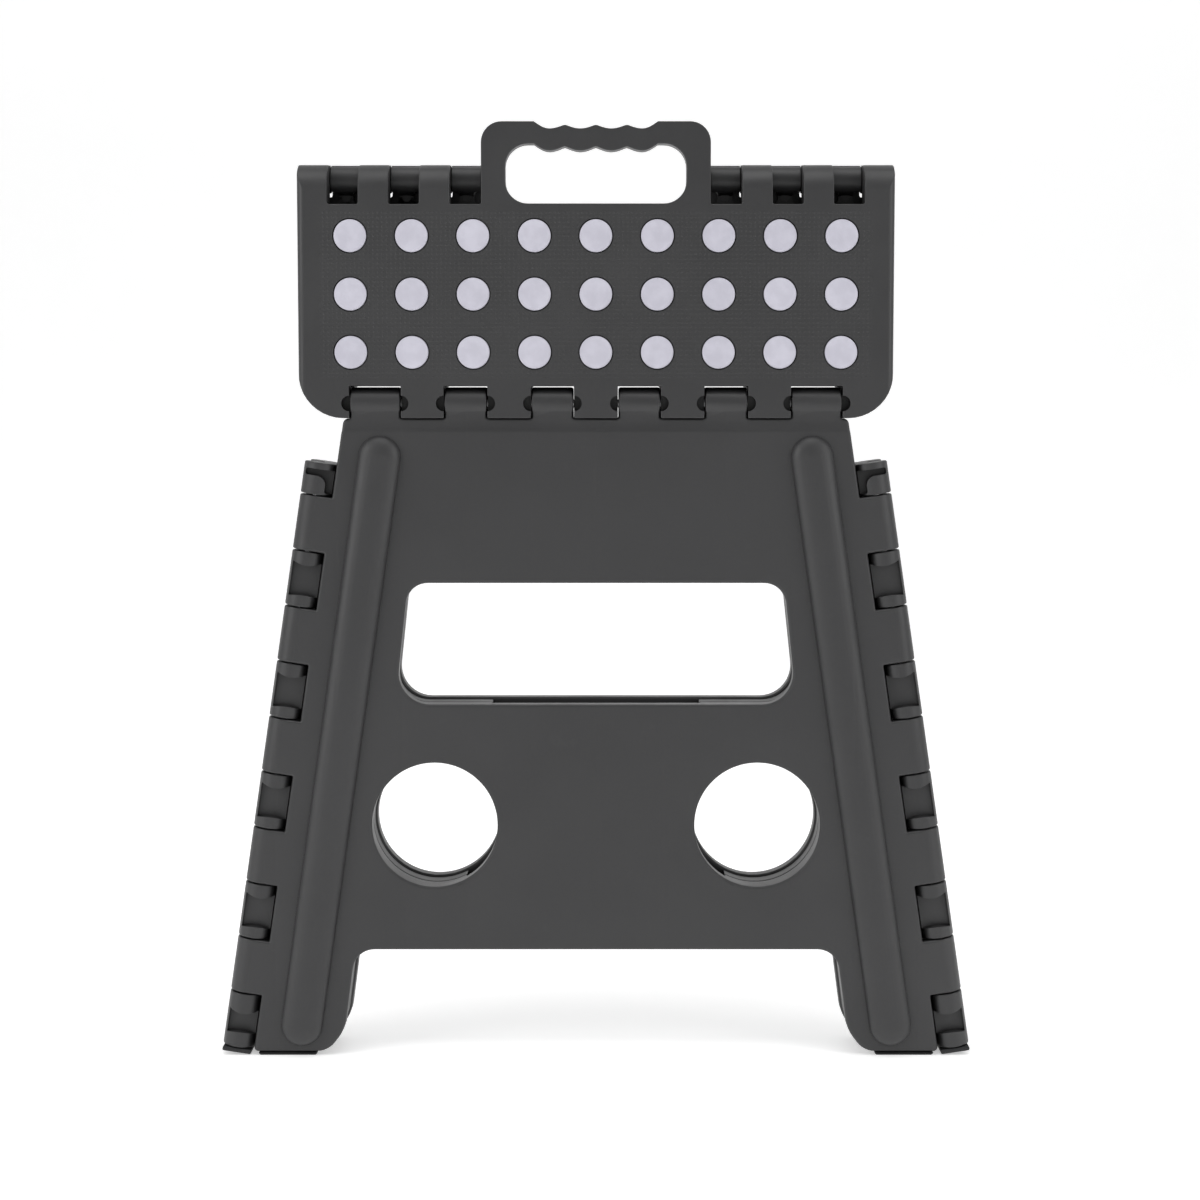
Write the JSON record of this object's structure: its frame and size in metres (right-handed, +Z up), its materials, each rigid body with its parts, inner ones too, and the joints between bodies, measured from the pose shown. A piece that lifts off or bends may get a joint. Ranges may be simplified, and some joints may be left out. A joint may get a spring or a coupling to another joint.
{
  "type": "folding step stool",
  "caption": "Folding step stool: two hinged top halves with anti-slip dots and a carrying handle, on two panel legs joined by side panels that fold inward.",
  "frame": {"origin": "on the floor, at the middle of the folded stool's footprint", "axes": "+Z up, X across the stool, Y through its folded thickness; the half with the handle is at -Y"},
  "size_m": [0.3734, 0.051, 0.4596],
  "materials": {
    "dark_grey_plastic": "matte moulded, fine spark-eroded texture",
    "pale_dot_rubber": "soft matte anti-slip dots",
    "black_foot_rubber": "matte moulded rubber",
    "hinge_pin_steel": "drawn wire"
  },
  "bodies": {
    "front_leg": {"front_leg_panel": "dark_grey_plastic", "front_leg_hinge_pin": "hinge_pin_steel", "left_front_side_hinge_pin": "hinge_pin_steel", "right_front_side_hinge_pin": "hinge_pin_steel", "left_front_leg_foot": "black_foot_rubber", "right_front_leg_foot": "black_foot_rubber"},
    "front_top": {"front_top_half": "dark_grey_plastic", "front_top_dot_inlay": "pale_dot_rubber", "left_centre_hinge_pin": "hinge_pin_steel", "right_centre_hinge_pin": "hinge_pin_steel"},
    "rear_top": {"rear_top_half": "dark_grey_plastic", "rear_top_dot_inlay": "pale_dot_rubber"},
    "rear_leg": {"rear_leg_panel": "dark_grey_plastic", "rear_leg_hinge_pin": "hinge_pin_steel", "left_rear_side_hinge_pin": "hinge_pin_steel", "right_rear_side_hinge_pin": "hinge_pin_steel", "left_rear_leg_foot": "black_foot_rubber", "right_rear_leg_foot": "black_foot_rubber"},
    "left_front_side": {"left_front_side_half": "dark_grey_plastic", "left_front_side_foot": "black_foot_rubber", "left_lower_side_centre_pin": "hinge_pin_steel", "left_middle_side_centre_pin": "hinge_pin_steel", "left_upper_side_centre_pin": "hinge_pin_steel"},
    "left_rear_side": {"left_rear_side_half": "dark_grey_plastic", "left_rear_side_foot": "black_foot_rubber"},
    "right_front_side": {"right_front_side_half": "dark_grey_plastic", "right_front_side_foot": "black_foot_rubber", "right_lower_side_centre_pin": "hinge_pin_steel", "right_middle_side_centre_pin": "hinge_pin_steel", "right_upper_side_centre_pin": "hinge_pin_steel"},
    "right_rear_side": {"right_rear_side_half": "dark_grey_plastic", "right_rear_side_foot": "black_foot_rubber"}
  },
  "joints": [
    {"name": "front_top_hinge", "type": "hinge", "parent": "front_leg", "child": "front_top", "pos_m": [0, -0.012, 0.3238], "axis": [-1, 0, 0], "range_deg": [0, 90]},
    {"name": "top_centre_hinge", "type": "hinge", "parent": "front_top", "child": "rear_top", "pos_m": [0, 0, 0.4328], "axis": [1, 0, 0], "range_deg": [0, 180]},
    {"name": "rear_leg_hinge", "type": "hinge", "parent": "rear_top", "child": "rear_leg", "pos_m": [0, 0.012, 0.3238], "axis": [-1, 0, 0], "range_deg": [0, 90]},
    {"name": "left_side_hinge", "type": "hinge", "parent": "front_leg", "child": "left_front_side", "pos_m": [-0.15727, -0.012, 0.14753], "axis": [0.149, 0, 0.9888], "range_deg": [0, 90]},
    {"name": "left_side_centre_hinge", "type": "hinge", "parent": "left_front_side", "child": "left_rear_side", "pos_m": [-0.04948, 0, 0.13129], "axis": [-0.149, 0, -0.9888], "range_deg": [0, 180]},
    {"name": "right_side_hinge", "type": "hinge", "parent": "front_leg", "child": "right_front_side", "pos_m": [0.15727, -0.012, 0.14753], "axis": [0.149, 0, -0.9888], "range_deg": [0, 90]},
    {"name": "right_side_centre_hinge", "type": "hinge", "parent": "right_front_side", "child": "right_rear_side", "pos_m": [0.04948, 0, 0.13129], "axis": [-0.149, 0, 0.9888], "range_deg": [0, 180]}
  ],
  "couplings": [
    {"joint": "top_centre_hinge", "follows": "front_top_hinge", "ratio": 2},
    {"joint": "rear_leg_hinge", "follows": "front_top_hinge", "ratio": 1},
    {"joint": "left_side_hinge", "follows": "front_top_hinge", "ratio": 1},
    {"joint": "left_side_centre_hinge", "follows": "front_top_hinge", "ratio": 2},
    {"joint": "right_side_hinge", "follows": "front_top_hinge", "ratio": 1},
    {"joint": "right_side_centre_hinge", "follows": "front_top_hinge", "ratio": 2}
  ]
}
